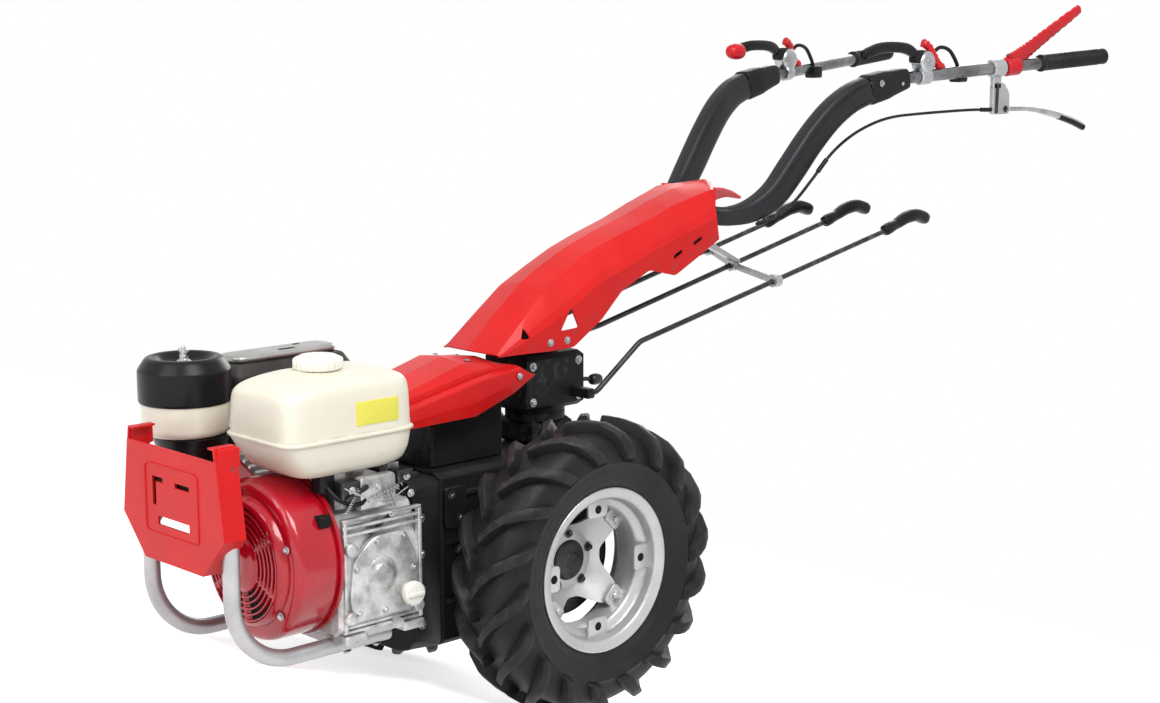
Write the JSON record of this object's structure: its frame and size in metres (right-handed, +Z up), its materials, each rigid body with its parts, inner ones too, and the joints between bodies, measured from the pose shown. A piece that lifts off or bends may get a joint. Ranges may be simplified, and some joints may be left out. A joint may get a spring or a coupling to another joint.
{
  "type": "hand tractor",
  "caption": "Walking tractor with an engine over its front guard, a geared axle between lugged tyres, and long handlebars that swing and tilt on a steering column.",
  "frame": {"origin": "floor level, at the middle of the machine's outline seen from above, with the machine parked nose down on its tyres and front guard", "axes": "+X forward past the engine, +Y to the operator's left, +Z up"},
  "size_m": [1.869, 0.6032, 1.616],
  "materials": {
    "tyre_rubber": "moulded black rubber, matt",
    "wheel_paint": "silver paint, satin",
    "black_paint": "black paint over castings and plate, satin",
    "machined_steel": "bare turned or drawn steel",
    "cast_alloy": "grey cast alloy, matt",
    "red_paint": "glossy red paint over pressed sheet",
    "cream_paint": "cream gloss paint over pressed sheet",
    "cream_plastic": "moulded cream plastic",
    "exhaust_black": "heat-proof black paint, matt",
    "silver_paint": "silver grey paint over tube, satin",
    "black_plastic": "moulded black plastic",
    "grip_rubber": "soft ribbed black grip",
    "red_plastic": "moulded red plastic"
  },
  "bodies": {
    "chassis": {"gearbox_housing": "black_paint", "left_axle_housing": "black_paint", "right_axle_housing": "black_paint", "bell_housing": "black_paint", "implement_coupling": "machined_steel", "column_post": "black_paint", "engine_crankcase": "cast_alloy", "engine_cylinder": "cast_alloy", "fan_cover": "red_paint", "recoil_starter": "red_paint", "fuel_tank": "cream_paint", "fuel_tank_cap": "cream_plastic", "air_cleaner_base": "black_plastic", "air_cleaner_bowl": "cream_paint", "air_cleaner_cap": "black_plastic", "muffler": "exhaust_black", "carburettor": "cast_alloy", "oil_filler_cap": "black_plastic", "left_guard_tube": "silver_paint", "right_guard_tube": "silver_paint", "engine_mount_plate": "silver_paint", "guard_plate": "red_paint", "front_hood": "red_paint", "hood_bracket": "black_paint"},
    "left_wheel": {"left_wheel_tyre": "tyre_rubber", "left_wheel_rim": "wheel_paint", "left_wheel_disc": "wheel_paint", "left_wheel_axle": "machined_steel"},
    "right_wheel": {"right_wheel_tyre": "tyre_rubber", "right_wheel_rim": "wheel_paint", "right_wheel_disc": "wheel_paint", "right_wheel_axle": "machined_steel"},
    "steering": {"steering_head": "black_paint", "support_beam": "black_paint", "handlebar_hub": "black_paint", "column_fairing": "red_paint", "left_gear_rod": "machined_steel", "left_gear_handle": "black_plastic", "middle_gear_rod": "machined_steel", "middle_gear_handle": "black_plastic", "right_gear_rod": "machined_steel", "right_gear_handle": "black_plastic", "gear_rod_bracket": "silver_paint"},
    "handlebar": {"handlebar_pivot": "machined_steel", "left_arm": "black_paint", "right_arm": "black_paint", "left_arm_clamp": "black_paint", "right_arm_clamp": "black_paint", "left_handle_tube": "silver_paint", "right_handle_tube": "silver_paint", "left_grip": "grip_rubber", "right_grip": "grip_rubber", "stop_lever": "red_plastic", "clutch_bracket": "silver_paint", "clutch_lever": "silver_paint", "clutch_cable": "black_plastic", "left_lever_bracket": "black_plastic", "left_hand_lever": "black_plastic", "right_lever_bracket": "silver_paint", "right_hand_lever": "silver_paint"}
  },
  "joints": [
    {"name": "left_wheel_spin", "type": "hinge", "parent": "chassis", "child": "left_wheel", "pos_m": [0.21372, 0.226, 0.258], "axis": [0, 1, 0], "continuous": true},
    {"name": "right_wheel_spin", "type": "hinge", "parent": "chassis", "child": "right_wheel", "pos_m": [0.21372, -0.226, 0.258], "axis": [0, 1, 0], "continuous": true},
    {"name": "steering_swing", "type": "hinge", "parent": "chassis", "child": "steering", "pos_m": [0.124, 0, 0.28923], "axis": [0.3288, 0, 0.9444], "range_deg": [0, 180]},
    {"name": "handlebar_tilt", "type": "hinge", "parent": "steering", "child": "handlebar", "pos_m": [-0.06822, 0, 0.93852], "axis": [0, 1, 0], "range_deg": [-8, 16]}
  ]
}
